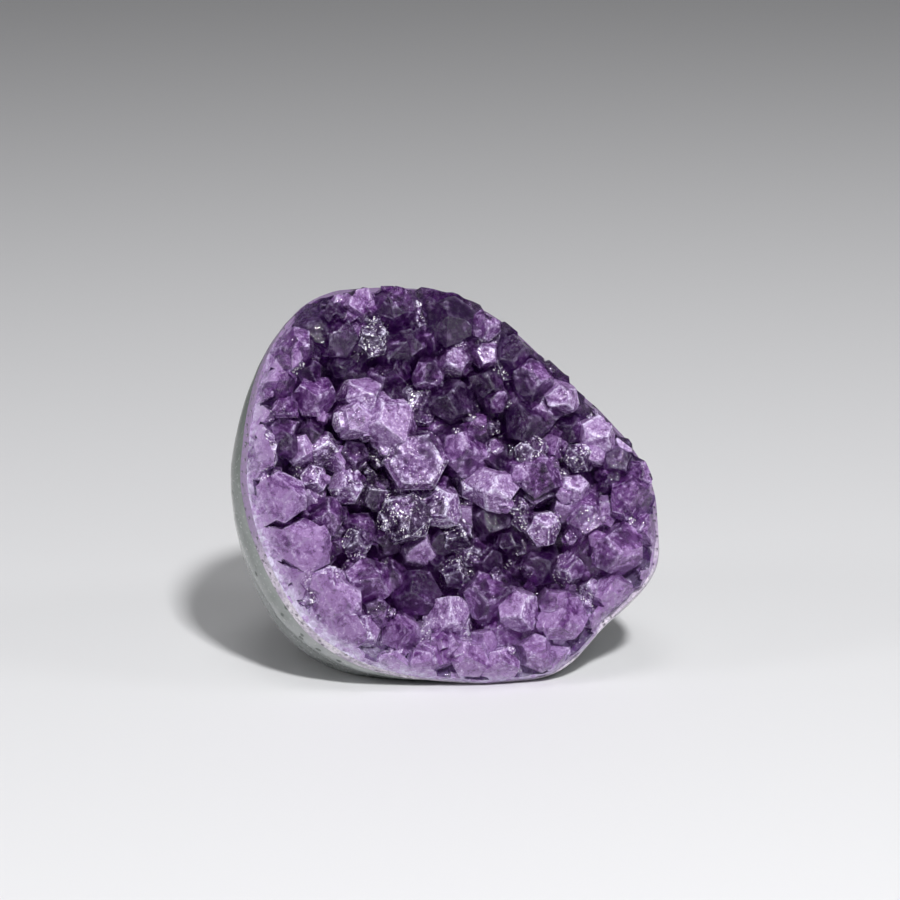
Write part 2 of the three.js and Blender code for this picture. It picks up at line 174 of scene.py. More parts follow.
def linear(hex_colour: str) -> tuple[float, float, float, float]:
    """Turn an sRGB hex colour into linear values.

    Args:
        hex_colour: the colour, as in "#8a6fb0".

    Returns:
        Red, green, blue and alpha for a colour socket.
    """
    values = [int(hex_colour[i : i + 2], 16) / 255 for i in (1, 3, 5)]
    red, green, blue = (v / 12.92 if v <= 0.04045 else ((v + 0.055) / 1.055) ** 2.4 for v in values)
    return red, green, blue, 1.0


Value = float | tuple[float, ...] | bpy.types.NodeSocket

# Settings of the nodes that work out values, held between 0 and 1, and of those that mix colours.
ADD, SUBTRACT, TIMES, TIMES_ADD = (
    {"operation": name, "use_clamp": True} for name in ("ADD", "SUBTRACT", "MULTIPLY", "MULTIPLY_ADD")
)
COLOURS = {"data_type": "RGBA", "output": 2}


def add_node(
    tree: bpy.types.NodeTree,
    kind: str,
    *values: Value,
    inputs: dict[int | str, Value] | None = None,
    output: int | str = 0,
    **settings: str | bool,
) -> bpy.types.NodeSocket | None:
    """Add one node with its settings, values and links.

    Args:
        tree: the material's or world's node tree.
        kind: the node's type name.
        values: values, or outputs to link, for the node's first inputs.
        inputs: values, or outputs to link, by the input's name or number.
        output: the name or number of the output that is given back.
        settings: properties of the node itself.

    Returns:
        The chosen output, or None where the node has none.
    """
    node = tree.nodes.new(kind)
    for name, value in settings.items():
        setattr(node, name, value)
    for key, value in [*enumerate(values), *(inputs or {}).items()]:
        if isinstance(value, bpy.types.NodeSocket):
            tree.links.new(value, node.inputs[key])
        else:
            node.inputs[key].default_value = value
    return node.outputs[output] if node.outputs else None


def new_material(name: str) -> tuple[bpy.types.Material, bpy.types.NodeTree]:
    """Make a material with an empty node tree, and give both.

    Args:
        name: the finish's name.

    Returns:
        The material and its tree.
    """
    material = bpy.data.materials.new(name)
    material.use_nodes = True
    material.node_tree.nodes.clear()
    return material, material.node_tree


def held(value: float) -> float:
    """Hold a value between 0 and 1."""
    return min(1.0, max(0.0, value))


def cut_flat(bm: bmesh.types.BMesh, place: Vector, outward: Vector) -> None:
    """Cut away what lies beyond a plane and close the cut with a flat face.

    Args:
        bm: the closed body.
        place: a point of the plane.
        outward: the direction of the side that goes.
    """
    plane = {"plane_co": place, "plane_no": outward, "dist": 1e-5, "clear_outer": True}
    cut = bmesh.ops.bisect_plane(bm, geom=bm.verts[:] + bm.edges[:] + bm.faces[:], **plane)
    rim = [e for e in cut["geom_cut"] if isinstance(e, bmesh.types.BMEdge)]
    bmesh.ops.holes_fill(bm, edges=rim, sides=0)


class ChanceStream:
    """Repeatable random numbers from 0 to 1, the same ones that placed the solids' points."""

    MODULUS = 2147483647

    def __init__(self, seed: int) -> None:
        """Start the stream at a seed."""
        self.state = seed

    def next(self) -> float:
        """Give the next number."""
        self.state = (self.state * 48271) % self.MODULUS
        return self.state / self.MODULUS

    def between(self, low: float, high: float) -> float:
        """Give a number between two limits."""
        return low + (high - low) * self.next()

    def spread(self) -> float:
        """Give a number from -1 to 1."""
        return 2 * self.next() - 1


@dataclass
class StoneForm:
    """The ground stone's shape and the dish that the quartz grew on, all in the face frame."""

    girth_level: float = -7.0
    front_depth: float = 17.0
    back_depth: float = 46.0
    roundness: float = 2.4
    back_drop: float = 0.28
    dish_centre_level: float = -15.0
    band_thickness: float = 2.6
    druse_centre_level: float = -4.5
    druse_rim_level: float = 4.0
    druse_rim_gain: float = 1.2
    steps_around: int = 200
    steps_back: int = 110  # from its front to its back
    waver: float = 0.25  # mm that the grinding by hand left it off the true form
    chip_size: float = 4.5
    samples: list = field(default_factory=list)

    def __post_init__(self) -> None:
        """Lay the smooth closed outline through its points."""
        count = len(OUTLINE)
        for i in range(count):
            before, start, end, after = (Vector(OUTLINE[(i + k) % count]) for k in (-1, 0, 1, 2))
            for step in range(40):
                t = step / 40
                pull_start, pull_end = (end - before) / 2, (after - start) / 2
                place = (
                    (2 * t**3 - 3 * t**2 + 1) * start
                    + (t**3 - 2 * t**2 + t) * pull_start
                    + (3 * t**2 - 2 * t**3) * end
                    + (t**3 - t**2) * pull_end
                )
                self.samples.append((math.atan2(place.y, place.x), math.hypot(place.x, place.y), place.z))
        self.samples.sort()

    def outline_at(self, angle: float) -> tuple[float, float]:
        """Find the outline in one direction from the middle of the face.

        Args:
            angle: the direction in radians.

        Returns:
            How far out the outline runs and the dish's level there.
        """
        turned = math.atan2(math.sin(angle), math.cos(angle))
        following = bisect_left(self.samples, turned, key=lambda sample: sample[0])
        before, after = self.samples[following - 1], self.samples[following % len(self.samples)]
        span = (after[0] - before[0]) % (2 * math.pi)
        share = ((turned - before[0]) % (2 * math.pi)) / span if span > 0 else 0
        return before[1] + (after[1] - before[1]) * share, before[2] + (after[2] - before[2]) * share

    def face_share(self, x: float, y: float) -> float:
        """Give how far out a place lies: 0 in the middle of the face, 1 on the outline."""
        return math.hypot(x, y) / self.outline_at(math.atan2(y, x))[0]

    def dish_level(self, share: float, angle: float) -> float:
        """Give the level of the dish's floor, which climbs from the middle to the rim."""
        rim = self.outline_at(angle)[1]
        return self.dish_centre_level + (rim - self.dish_centre_level) * share**2.5

    def druse_level(self, x: float, y: float) -> float:
        """Give the level of the points' shoulders at a place, with the trough low on the face.

        Args:
            x: its place across the face.
            y: its place up the face.

        Returns:
            The level in mm.
        """
        rim = self.outline_at(math.atan2(y, x))[1] * self.druse_rim_gain + self.druse_rim_level
        trough = 2.5 * math.exp(-(((y + 15) / 5) ** 2) - ((x - 8) / 20) ** 2)
        climb = (rim - self.druse_centre_level) * self.face_share(x, y) ** 2.5
        return self.druse_centre_level + climb - trough

    def on_ground_side(self, direction: Vector) -> Vector:
        """Carry a point of the unit sphere to the ground surface.

        Args:
            direction: the point on the sphere.

        Returns:
            Its place in the face frame.
        """
        angle = math.atan2(direction.y, direction.x)
        width = min(1.0, math.hypot(direction.x, direction.y)) ** (2 / self.roundness)
        depth = math.copysign(min(1.0, abs(direction.z)) ** (2 / self.roundness), direction.z)
        behind = depth * (self.front_depth if depth > 0 else self.back_depth)
        reach = width * self.outline_at(angle)[0]
        drop = min(0.0, behind) * self.back_drop
        return Vector((reach * math.cos(angle), reach * math.sin(angle) + drop, self.girth_level + behind))

    def ground_body(self, name: str, chipping: float = 0.0) -> bpy.types.Object:
        """Build the whole ground form, cut flat underneath.

        Args:
            name: the object's name.
            chipping: how deep the chips along the top and right of its front edge go, in mm.

        Returns:
            A closed object in the face frame, its faces marked as ground.
        """
        bm = bmesh.new()
        bmesh.ops.create_uvsphere(bm, u_segments=self.steps_around, v_segments=self.steps_back, radius=1)
        for vert in bm.verts:
            outward = vert.co.normalized()
            vert.co = self.on_ground_side(outward)
            vert.co += outward * self.waver * noise.fractal(vert.co / 14, 0.6, 2.1, 3)
            side = held(0.5 + 0.65 * math.cos(math.atan2(vert.co.y, vert.co.x) - math.radians(50)))
            vert.co -= outward * chipping * side * (0.45 + 0.65 * noise.cell(vert.co / self.chip_size))
        to_face = FACE_TO_STONE.inverted()
        cut_flat(bm, to_face @ Vector((0, 0, 0)), to_face.to_3x3() @ Vector((0, 0, -1)))
        mark_faces(bm, ground=1.0)
        return object_from(bm, name)

    def space_over_dish(self, name: str, lift_inside: float, lift_at_rim: float) -> bpy.types.Object:
        """Build the space in front of the dish's floor, for cutting.

        Args:
            name: the object's name.
            lift_inside: how far the floor is raised under the crust, in mm.
            lift_at_rim: how far it is raised where it comes out through the stone's side.

        Returns:
            A closed drum in the face frame.
        """
        rings, reach, top = 30, 1.3, 40.0
        bm = bmesh.new()
        profile = [bm.verts.new((reach * i / rings, 0, 0)) for i in range(rings + 1)]
        profile += [bm.verts.new((reach, 0, top)), bm.verts.new((0, 0, top))]
        edges = [bm.edges.new(pair) for pair in zip(profile, profile[1:])]
        turn = {"cent": (0, 0, 0), "axis": (0, 0, 1), "angle": 2 * math.pi, "steps": 160, "use_merge": True}
        bmesh.ops.spin(bm, geom=profile + edges, **turn)
        bmesh.ops.remove_doubles(bm, verts=bm.verts[:], dist=1e-5)
        bmesh.ops.recalc_face_normals(bm, faces=bm.faces[:])
        for vert in bm.verts:
            share, angle = math.hypot(vert.co.x, vert.co.y), math.atan2(vert.co.y, vert.co.x)
            lift = lift_inside + (lift_at_rim - lift_inside) * held((share - 0.88) / 0.06)
            level = top if vert.co.z > top / 2 else self.dish_level(share, angle) + lift
            radius = share * self.outline_at(angle)[0]
            vert.co = (radius * math.cos(angle), radius * math.sin(angle), level)
        mark_faces(bm, ground=0.0)
        return object_from(bm, name)


def mark_faces(bm: bmesh.types.BMesh, **marks: float) -> None:
    """Give every face of a bmesh the same named values.

    Args:
        bm: the bmesh.
        marks: the values by layer name.
    """
    for name, value in marks.items():
        layer = bm.faces.layers.float.get(name) or bm.faces.layers.float.new(name)
        for face in bm.faces:
            face[layer] = value


def room_for_border(face: bmesh.types.BMFace) -> float:
    """Find how wide a border a face has room for before one of its edges shrinks to nothing.

    Args:
        face: the face.

    Returns:
        The width in mm.
    """
    room = face.calc_area() / face.calc_perimeter()
    for loop in face.loops:
        half_angles = (loop.calc_angle() / 2, loop.link_loop_next.calc_angle() / 2)
        spread = sum(1 / math.tan(max(0.05, half)) for half in half_angles)
        if spread > 0:
            room = min(room, loop.edge.calc_length() / spread)
    return room


def object_from(bm: bmesh.types.BMesh, name: str) -> bpy.types.Object:
    """Turn a bmesh into an object of the scene and free it.

    Args:
        bm: the finished bmesh.
        name: the object's name.

    Returns:
        The object.
    """
    mesh = bpy.data.meshes.new(name)
    bm.to_mesh(mesh)
    bm.free()
    piece = bpy.data.objects.new(name, mesh)
    bpy.context.scene.collection.objects.link(piece)
    return piece


def combine(piece: bpy.types.Object, others: list[bpy.types.Object], operation: str) -> bpy.types.Object:
    """Join, cut or intersect closed objects into one and remove the rest.

    Args:
        piece: the object that is changed.
        others: the objects that are joined to it or cut from it.
        operation: UNION, DIFFERENCE or INTERSECT.

    Returns:
        The changed object.
    """
    group = bpy.data.collections.new("tools")
    bpy.context.scene.collection.children.link(group)
    for other in others:
        bpy.context.scene.collection.objects.unlink(other)
        group.objects.link(other)
    join = piece.modifiers.new("join", "BOOLEAN")
    join.operation, join.solver = operation, "MANIFOLD"
    join.operand_type, join.collection = "COLLECTION", group
    graph = bpy.context.evaluated_depsgraph_get()
    mesh = bpy.data.meshes.new_from_object(
        piece.evaluated_get(graph), preserve_all_data_layers=True, depsgraph=graph
    )
    piece.modifiers.clear()
    old, piece.data = piece.data, mesh
    bpy.data.meshes.remove(old)
    for other in others:
        tool = other.data
        bpy.data.objects.remove(other)
        bpy.data.meshes.remove(tool)
    bpy.data.collections.remove(group)
    return piece


def place_in_stone(piece: bpy.types.Object) -> None:
    """Carry a finished mesh from the face frame, in mm, to the stone's frame, in metres."""
    piece.data.transform(Matrix.Scale(MM, 4) @ FACE_TO_STONE)
    piece.data.update()


@dataclass
class QuartzPoint:
    """One six-sided quartz point with an uneven tip."""

    x: float
    y: float
    level: float
    radius: float
    lean_x: float
    lean_y: float
    turn: float
    bluntness: float
    flatness: float
    tip_sets: list[float]
    tint: float
    frost: float
    length: float = 30.0
    flat_top: float | None = None
    number: int = 0
    # The border is painted paler: partly frost on the worn edges, partly a painted highlight along the faces'
    # edges.
    border: float = 0.2  # width of the paler border of each face, as a share of the radius

    TIP_SLOPE = math.tan(math.radians(51.8))
    FINEST_BORDERED = 0.6  # mm2 of a face, below which it has no border

    def placement(self) -> Matrix:
        """Give the point's place: its axis leans and it is turned about it.

        Returns:
            The matrix that carries it there.
        """
        axis = Vector((self.lean_x, self.lean_y, 1)).normalized()
        aim = Vector((0, 0, 1)).rotation_difference(axis).to_matrix().to_4x4()
        return Matrix.Translation((self.x, self.y, self.level)) @ aim @ Matrix.Rotation(self.turn, 4, "Z")

    def build(self, chance: ChanceStream, edge_width: float) -> bpy.types.Object:
        """Build the point as a closed object.

        Args:
            chance: random numbers for its faces' roughness.
            edge_width: width of the worn edges in mm.

        Returns:
            The object, with its looks as face values.
        """
        slope = self.TIP_SLOPE * self.bluntness
        height = slope * self.radius
        bm = bmesh.new()
        bmesh.ops.create_cone(
            bm,
            cap_ends=True,
            segments=6,
            radius1=self.radius,
            radius2=self.radius,
            depth=self.length,
            matrix=Matrix.Translation((0, 0, height - self.length / 2)),
        )
        bmesh.ops.scale(bm, vec=(1, self.flatness, 1), verts=bm.verts[:])
        apothem = self.radius * math.cos(math.pi / 6)
        for side, offset in enumerate(self.tip_sets):
            angle = math.radians(60 * side)
            normal = Vector((slope * math.cos(angle), slope * math.sin(angle), 1)).normalized()
            reach = math.hypot(normal.x, normal.y) * apothem + offset * self.radius * normal.z
            cut_flat(bm, normal * reach, normal)
        if self.flat_top is not None:
            cut_flat(bm, Vector((0, 0, self.flat_top)), Vector((0, 0, 1)))
        bmesh.ops.remove_doubles(bm, verts=bm.verts[:], dist=0.02)
        mark_faces(bm, ground=0.0, worn=0.0, border=0.0, number=self.number, tint=self.tint, frost=self.frost)
        frost, tint, mark, border = (bm.faces.layers.float[n] for n in ("frost", "tint", "worn", "border"))
        for face in bm.faces:
            face[frost] = held(self.frost * chance.between(0.3, 1.3))
            face[tint] = held(self.tint + 0.18 * chance.spread())
        foot = height - self.length + 1
        edges = [e for e in bm.edges if max(v.co.z for v in e.verts) > foot]
        worn = bmesh.ops.bevel(
            bm,
            geom=edges,
            offset=edge_width,
            offset_type="OFFSET",
            segments=1,
            profile=0.5,
            affect="EDGES",
            clamp_overlap=True,
            material=-1,
        )
        for face in worn["faces"]:
            face[mark] = face[border] = 1.0
        for face in [f for f in bm.faces if f[mark] == 0 and f.calc_area() > self.FINEST_BORDERED]:
            width = min(self.border * self.radius, 0.7 * room_for_border(face))
            if width < 0.1:
                continue
            ring = bmesh.ops.inset_individual(bm, faces=[face], thickness=width, use_even_offset=True)
            for part in ring["faces"]:
                part[border] = 1.0
        bmesh.ops.transform(bm, matrix=self.placement(), verts=bm.verts[:])
        return object_from(bm, "point")


@dataclass(frozen=True)
class AmethystFinish:
    """Natural amethyst: violet quartz, see-through, with frosted and finely stepped growth faces.

    It gives the eye dark glassy windows beside pale veiled patches, and sparkling rough faces, from tilted
    grains and from painted white glints.
    """

    dark: str = "#2c1040"
    deep: str = "#561678"
    violet: str = "#944eb2"
    lavender: str = "#cdaae2"
    milky: str = "#e6e2f8"
    # Partly frost and partly painted sheen: bluish white for frosted patches, and also standing in for
    # reflections on the faces.
    frost_and_sheen_white: str = "#dbd8ec"
    # Painted highlight: pure white for the glints painted on grains of the rough faces.
    glint_white: str = "#ffffff"
    clearest: float = 0.93
    refraction: float = 1.544
    absorption: str = "#c070c8"
    absorption_density: float = 120.0
    sparkle_grain: float = 0.34  # mm across a growth step: real ones are finer and wouldn't show
    fine_size: float = 0.5  # mm across the finest mottling
    cloud_size: float = 5.0  # mm across the milky patches
    veil_size: float = 1.3  # mm across the wisps inside the points
    crumb_size: float = 1.3  # mm across the grains of the pale roots at the rim
    section_size: float = 6.5  # mm across a point where the grinding has cut it

    def material(self) -> bpy.types.Material:
        """Build the material, which reads the crust's own face values and depths.

        Returns:
            The material.
        """
        material, tree = new_material("amethyst_quartz")
        add = partial(add_node, tree)
        place = add("ShaderNodeTexCoord", output="Object")
        tint, frost, worn, edge, root, depth, pale_side, side = (
            add("ShaderNodeAttribute", output="Fac", attribute_name=name)
            for name in ("tint", "frost", "worn", "edge", "root", "depth", "pale_side", "ground")
        )
        clouds, veils, fine = (
            add(
                "ShaderNodeTexNoise",
                place,
                inputs={"Scale": 1 / (size * MM), "Detail": detail, "Roughness": rough, "Distortion": bend},
            )
            for size, detail, rough, bend in (
                (self.cloud_size, 5.0, 0.6, 0.3),
                (self.veil_size, 6.0, 0.75, 0.3),
                (self.fine_size, 3.0, 0.7, 0.0),
            )
        )
        grains, crumbs, sections = (
            add("ShaderNodeTexVoronoi", place, inputs={"Scale": 1 / (size * MM)}, output="Color")
            for size in (self.sparkle_grain, self.crumb_size, self.section_size)
        )
        inputs = {"Scale": 1 / (self.section_size * MM)}
        gap = add("ShaderNodeTexVoronoi", place, inputs=inputs, feature="DISTANCE_TO_EDGE")
        grain, crumb = (add("ShaderNodeSeparateColor", cells) for cells in (grains, crumbs))
        section = add("ShaderNodeSeparateColor", sections, output=1)

        # How pale the quartz is, on the points' faces and where the grinding has cut them.
        ground = add("ShaderNodeMapRange", pale_side, 0.0, 0.5, 0.35, 1.0)
        ground = add("ShaderNodeMath", side, ground, **TIMES)
        cut_tint = add("ShaderNodeMath", section, 0.5, 0.3, **TIMES_ADD)
        cut_tint = add("ShaderNodeMath", pale_side, 0.6, cut_tint, **TIMES_ADD)
        strength = add("ShaderNodeMath", ground, cut_tint, tint, **TIMES_ADD)
        cloudy = add("ShaderNodeMapRange", clouds, 0.35, 0.65, 0.0, 0.45)
        strength = add("ShaderNodeMath", strength, 0.68, cloudy, **TIMES_ADD)
        veiled = add("ShaderNodeMapRange", veils, 0.4, 0.66, 0.0, 0.28)
        strength = add("ShaderNodeMath", strength, veiled, **ADD)
        strength = add("ShaderNodeMath", strength, 0.23, **SUBTRACT)

        # Frost with painted sheen on the rough faces, painted white glints on their grains, pale borders that
        # are partly frost and partly painted highlight, and wisps inside.
        rough_patch = add("ShaderNodeMapRange", clouds, 0.38, 0.55, 0.3, 1.0)
        rough_patch = add("ShaderNodeMath", frost, rough_patch, **TIMES)
        speckle = add("ShaderNodeMapRange", fine, 0.48, 0.66)
        speckle = add("ShaderNodeMath", speckle, add("ShaderNodeMapRange", clouds, 0.38, 0.55), **TIMES)
        # Pale patches that are partly real frost and partly painted sheen, standing in for reflections.
        frost_and_sheen = add("ShaderNodeMapRange", veils, 0.46, 0.62, 0.0, 0.62)
        frost_and_sheen = add("ShaderNodeMath", speckle, 0.38, frost_and_sheen, **TIMES_ADD)
        frost_and_sheen = add("ShaderNodeMath", frost, frost_and_sheen, **TIMES)
        # Partly frost on the worn edges and partly a painted highlight along the faces' borders, standing in
        # for their brighter edges.
        edge_frost_and_sheen = add("ShaderNodeMapRange", veils, 0.36, 0.62, 0.2, 1.0)
        edge_frost_and_sheen = add("ShaderNodeMath", edge, edge_frost_and_sheen, **TIMES)
        frosted_edge = add("ShaderNodeMapRange", frost, 0.0, 0.6, 0.22, 0.8)
        edge_frost_and_sheen = add("ShaderNodeMath", edge_frost_and_sheen, frosted_edge, **TIMES)
        # Painted glints: white dots on some grains of the rough patches, standing in for glints of the
        # lights.
        painted_glints = add("ShaderNodeMapRange", rough_patch, 0.15, 0.8)
        painted_glints = add("ShaderNodeMath", painted_glints, add("ShaderNodeMapRange", grain, 0.86, 0.93), **TIMES)
        wisps = add("ShaderNodeMapRange", veils, 0.52, 0.66, 0.0, 0.5)
        wisps = add("ShaderNodeMath", wisps, add("ShaderNodeMapRange", fine, 0.4, 0.6, 0.2, 1.0), **TIMES)
        seam = add("ShaderNodeMapRange", gap, 0.07, 0.015, 0.0, 0.15)
        crumbly = add("ShaderNodeMapRange", crumb, 0.15, 0.85, 0.1, 0.75)
        dusty = add("ShaderNodeMapRange", fine, 0.42, 0.6, 0.0, 0.35)
        crumbly = add("ShaderNodeMath", crumbly, dusty, **ADD)

        colour = linear(self.deep)
        for share, over in (
            (add("ShaderNodeMapRange", strength, 0.0, 0.5), self.violet),
            (add("ShaderNodeMapRange", strength, 0.45, 1.0), self.lavender),
            # Milky: the real wisps inside, plus the faces' borders, which are partly frost and partly painted
            # highlight.
            (add("ShaderNodeMath", edge_frost_and_sheen, wisps, **ADD), self.milky),
            (frost_and_sheen, self.frost_and_sheen_white),
            (add("ShaderNodeMapRange", veils, 0.46, 0.34, 0.0, 0.55), self.dark),
            # Painted shade: the crust is darkened towards the dark colour deep in the crevices between the
            # points.
            (add("ShaderNodeMath", depth, 0.72, **TIMES), self.dark),
            (painted_glints, self.glint_white),
            (add("ShaderNodeMath", seam, ground, **TIMES), self.milky),
            (add("ShaderNodeMath", root, crumbly, **TIMES), self.milky),
        ):
            colour = add("ShaderNodeMix", share, inputs={6: colour, 7: linear(over)}, **COLOURS)

        # Milky quartz lets less light through.
        thick = add("ShaderNodeMapRange", strength, 0.25, 0.9, 0.0, 0.55)
        milkiness = 0.0
        weights = (frost_and_sheen, 0.7), (edge_frost_and_sheen, 0.45), (root, 0.5), (wisps, 0.5), (thick, 1.0), (painted_glints, 1.0)
        for share, weight in weights:
            milkiness = add("ShaderNodeMath", share, weight, milkiness, **TIMES_ADD)
        clearness = add("ShaderNodeMath", self.clearest, milkiness, **SUBTRACT)
        roughness = add("ShaderNodeMapRange", rough_patch, 0.0, 1.0, 0.05, 0.27)
        roughness = add("ShaderNodeMath", worn, 0.08, roughness, **TIMES_ADD)

        # Each grain of a rough face is a flat that faces its own way.
        crisp = add("ShaderNodeMapRange", fine, 0.5, 0.7, 0.03, 0.25)
        crisp = add("ShaderNodeMath", rough_patch, 0.6, crisp, **TIMES_ADD)
        crisp = add("ShaderNodeMath", crisp, add("ShaderNodeMath", ground, 0.9, **TIMES), **SUBTRACT)
        tilt = add("ShaderNodeVectorMath", grains, (0.5, 0.5, 0.5), operation="SUBTRACT")
        tilt = add("ShaderNodeVectorMath", tilt, inputs={"Scale": crisp}, operation="SCALE")
        outward = add("ShaderNodeNewGeometry", output="Normal")
        normal = add("ShaderNodeVectorMath", outward, tilt, operation="ADD")
        normal = add("ShaderNodeVectorMath", normal, operation="NORMALIZE")
        grained = add("ShaderNodeMath", root, 0.9, **TIMES)
        for strong, deep, height, inward in (
            (0.4, 0.1, fine, False),
            (0.5, 0.35, veils, False),
            (grained, 0.5, crumbs.node.outputs["Distance"], True),
        ):
            inputs = {"Strength": strong, "Distance": deep * MM, "Height": height, "Normal": normal}
            normal = add("ShaderNodeBump", inputs=inputs, invert=inward)

        inputs = {
            "Base Color": colour,
            "Roughness": roughness,
            "IOR": self.refraction,
            "Transmission Weight": clearness,
            "Normal": normal,
        }
        surface = add("ShaderNodeBsdfPrincipled", inputs=inputs)
        volume = add("ShaderNodeVolumeAbsorption", linear(self.absorption), self.absorption_density)
        add("ShaderNodeOutputMaterial", surface, volume)
        return material


@dataclass(frozen=True)
class CloudyQuartzFinish:
    """Chalcedony and milky quartz, sawn and polished: white to lilac, finely pitted, with a waxy gloss."""

    white: str = "#e4dce6"
    lilac: str = "#9780a6"
    grey: str = "#7d7884"
    patch_size: float = 5.0  # mm across the cloudy patches
    grain_size: float = 0.7  # mm across the grains
    pit_size: float = 1.3  # mm from one pit to the next
    white_below: float = 26.0  # mm above the base: the pitted white quartz shows lower down only

    def material(self) -> bpy.types.Material:
        """Build the material.

        Returns:
            The material.
        """
        material, tree = new_material("cloudy_quartz")
        add = partial(add_node, tree)
        place = add("ShaderNodeTexCoord", output="Object")
        patches, grain = (
            add("ShaderNodeTexNoise", place, inputs={"Scale": 1 / (size * MM), "Detail": 5, "Roughness": r})
            for size, r in ((self.patch_size, 0.6), (self.grain_size, 0.7))
        )
        pits = add("ShaderNodeTexVoronoi", place, inputs={"Scale": 1 / (self.pit_size * MM)})
        height = add("ShaderNodeSeparateXYZ", place, output="Z")
        upper = add("ShaderNodeMapRange", height, (self.white_below - 6) * MM, (self.white_below + 8) * MM)
        patched = add("ShaderNodeMapRange", patches, 0.4, 0.65, 0.0, 0.8)
        colour = linear(self.white)
        for share, over in (
            (add("ShaderNodeMath", upper, patched, operation="MAXIMUM"), self.lilac),
            (add("ShaderNodeMapRange", grain, 0.46, 0.62, 0.0, 0.7), self.grey),
            (add("ShaderNodeMapRange", pits, 0.3, 0.12, 0.0, 0.7), self.grey),
        ):
            colour = add("ShaderNodeMix", share, inputs={6: colour, 7: linear(over)}, **COLOURS)
        floor = add("ShaderNodeMapRange", pits, 0.12, 0.3)
        dents = add("ShaderNodeBump", inputs={"Strength": 0.9, "Distance": 0.5 * MM, "Height": floor})
        inputs = {"Strength": 0.4, "Distance": 0.15 * MM, "Height": grain, "Normal": dents}
        normal = add("ShaderNodeBump", inputs=inputs)
        inputs = {"Base Color": colour, "Roughness": 0.38, "IOR": 1.54, "Normal": normal}
        add("ShaderNodeOutputMaterial", add("ShaderNodeBsdfPrincipled", inputs=inputs))
        return material


@dataclass(frozen=True)
class PolishedBasaltFinish:
    """Basalt, ground and polished: grey-green, finely speckled, with gas holes and a wet-looking gloss."""

    grey: str = "#a9abac"
    dark: str = "#565e59"
    green: str = "#868c89"
    speck: str = "#c3c8c4"
    cloud_size: float = 16.0  # mm across the greener patches
    grain_size: float = 0.9  # mm across the specks: the real grains are finer and wouldn't show
    hole_spacing: float = 4.5  # mm from one gas hole to the next
    shaded_from: float = 28.0  # mm above the base: painted shade starts here, the top painted darker for the dim room that its polish reflects
    shaded_fully_from: float = 55.0

    def material(self) -> bpy.types.Material:
        """Build the material.

        Returns:
            The material.
        """
        material, tree = new_material("polished_basalt")
        add = partial(add_node, tree)
        place = add("ShaderNodeTexCoord", output="Object")
        clouds, grains = (
            add("ShaderNodeTexNoise", place, inputs={"Scale": 1 / (size * MM), "Detail": d, "Roughness": r})
            for size, d, r in ((self.cloud_size, 6, 0.6), (self.grain_size, 4, 0.7))
        )
        holes = add("ShaderNodeTexVoronoi", place, inputs={"Scale": 1 / (self.hole_spacing * MM)})
        hollow = add("ShaderNodeMapRange", holes, 0.16, 0.1)
        height = add("ShaderNodeSeparateXYZ", place, output="Z")
        # Painted shade: the rock is painted darker towards its top, standing in for the dim room that it
        # reflects.
        upper = add("ShaderNodeMapRange", height, self.shaded_from * MM, self.shaded_fully_from * MM, 0.0, 0.75)
        colour = linear(self.green)
        for share, over in (
            (add("ShaderNodeMapRange", clouds, 0.38, 0.62), self.grey),
            (add("ShaderNodeMapRange", grains, 0.55, 0.75, 0.0, 0.6), self.speck),
            (upper, self.dark),
            (hollow, self.dark),
        ):
            colour = add("ShaderNodeMix", share, inputs={6: colour, 7: linear(over)}, **COLOURS)
        inputs = {"Strength": 0.5, "Distance": 0.3 * MM, "Height": hollow}
        pitted = add("ShaderNodeBump", inputs=inputs, invert=True)
        gloss = add("ShaderNodeMapRange", grains, 0.3, 0.7, 0.14, 0.3)
        inputs = {"Base Color": colour, "Roughness": gloss, "IOR": 1.6, "Normal": pitted}
        add("ShaderNodeOutputMaterial", add("ShaderNodeBsdfPrincipled", inputs=inputs))
        return material


@dataclass
class RockShell:
    """The basalt that the geode grew in, ground and polished all round."""

    form: StoneForm

    def build(self) -> bpy.types.Object:
        """Build, dress and place the shell.

        Returns:
            The finished piece.
        """
        shell = self.form.ground_body("basalt_shell")
        floor = -self.form.band_thickness
        combine(shell, [self.form.space_over_dish("cutter", floor, floor)], "DIFFERENCE")
        dress(shell, PolishedBasaltFinish().material())
        place_in_stone(shell)
        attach(shell, "root")
        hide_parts("rock_shell")
        return shell


@dataclass
class QuartzBand:
    """The layer of cloudy quartz between the basalt and the purple points."""

    form: StoneForm
    fit: float = 0.03  # mm between it and its neighbours
    under_crust: float = 0.35  # mm that it reaches up into the crust's roots, away from the rim

    def build(self) -> bpy.types.Object:
        """Build, dress and place the band.

        Returns:
            The finished piece.
        """
        lift = self.fit - self.form.band_thickness
        band = self.form.ground_body("quartz_layer")
        combine(band, [self.form.space_over_dish("lower", lift, lift)], "INTERSECT")
        combine(band, [self.form.space_over_dish("upper", self.under_crust, -self.fit)], "DIFFERENCE")
        dress(band, CloudyQuartzFinish().material())
        place_in_stone(band)
        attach(band, "root")
        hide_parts("quartz_band")
        return band


